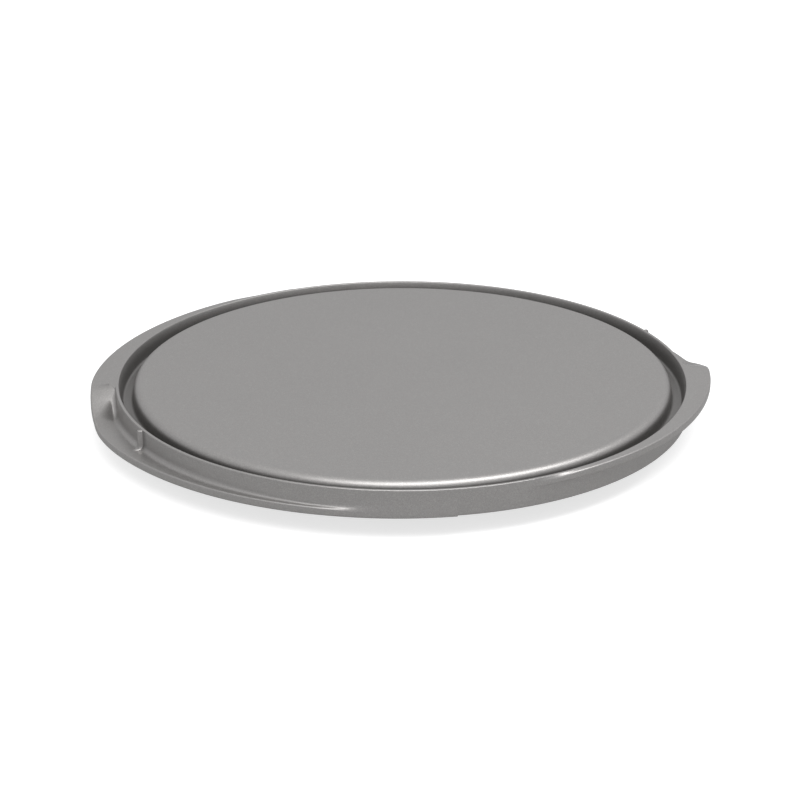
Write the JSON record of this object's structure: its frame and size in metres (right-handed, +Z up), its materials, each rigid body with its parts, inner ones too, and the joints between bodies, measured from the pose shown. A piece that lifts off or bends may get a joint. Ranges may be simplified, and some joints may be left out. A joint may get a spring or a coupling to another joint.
{
  "type": "electric griddle",
  "caption": "Round electric griddle: a cast plate with a grease groove and two flat twisted grips lifts off a shallow heater base on rubber feet.",
  "frame": {"origin": "on the floor, under the centre of the round plate", "axes": "+Z up, +X along the line through the two grips, +Y to the back where the supply cord enters"},
  "size_m": [0.414, 0.3816, 0.032],
  "materials": {
    "nonstick_cast": "warm grey metallic non-stick coating on cast aluminium, fine speckle, satin",
    "black_enamel": "black heat-proof enamel on drawn sheet steel, fine orange peel",
    "black_rubber": "matte black moulded silicone rubber",
    "mineral_fibre": "off-white needled mineral fibre felt",
    "bright_aluminium": "bright rolled aluminium sheet",
    "plain_steel": "zinc-plated steel",
    "spring_steel": "stainless spring steel, plain rolled",
    "heater_sheath": "annealed dark green-grey heater sheath",
    "white_ceramic": "unglazed white steatite",
    "terminal_brass": "plain pressed brass",
    "brown_sleeve": "brown silicone insulation",
    "blue_sleeve": "blue silicone insulation",
    "green_sleeve": "green and yellow silicone insulation",
    "glass_sleeve": "braided glass-fibre sleeve",
    "black_plastic": "black moulded heat-proof plastic"
  },
  "bodies": {
    "base": {"base_pan": "black_enamel", "plate_rests": "black_rubber", "insulation_mat": "mineral_fibre", "heat_reflector": "bright_aluminium", "reflector_spacers": "plain_steel", "reflector_screws": "plain_steel", "outer_element": "heater_sheath", "inner_element": "heater_sheath", "element_seals": "white_ceramic", "element_studs": "plain_steel", "element_clips": "spring_steel", "clip_screws": "plain_steel", "live_strap": "terminal_brass", "neutral_strap": "terminal_brass", "stud_nuts": "plain_steel", "thermostat_body": "white_ceramic", "thermostat_tabs": "terminal_brass", "thermostat_bracket": "plain_steel", "bracket_screws": "plain_steel", "sensor_spring": "spring_steel", "thermal_fuse": "terminal_brass", "terminal_block": "white_ceramic", "terminal_screws": "terminal_brass", "earth_stud": "plain_steel", "earth_nut": "terminal_brass", "live_lead": "brown_sleeve", "fuse_lead": "glass_sleeve", "thermostat_lead": "glass_sleeve", "neutral_lead": "blue_sleeve", "earth_lead": "green_sleeve", "cord_bush": "black_rubber", "cord_clamp": "black_plastic", "clamp_screws": "plain_steel", "feet": "black_rubber", "foot_screws": "plain_steel", "foot_nuts": "plain_steel"},
    "plate": {"griddle_plate": "nonstick_cast"},
    "sensor": {"sensor_plunger": "bright_aluminium"}
  },
  "joints": [
    {"name": "plate_lift", "type": "slide", "parent": "base", "child": "plate", "axis": [0, 0, 1], "range_m": [0, 0.07]},
    {"name": "sensor_press", "type": "slide", "parent": "base", "child": "sensor", "axis": [0, 0, 1], "range_m": [-0.0015, 0], "stiffness_N_per_m": 400, "deforming": ["sensor_spring"]}
  ]
}
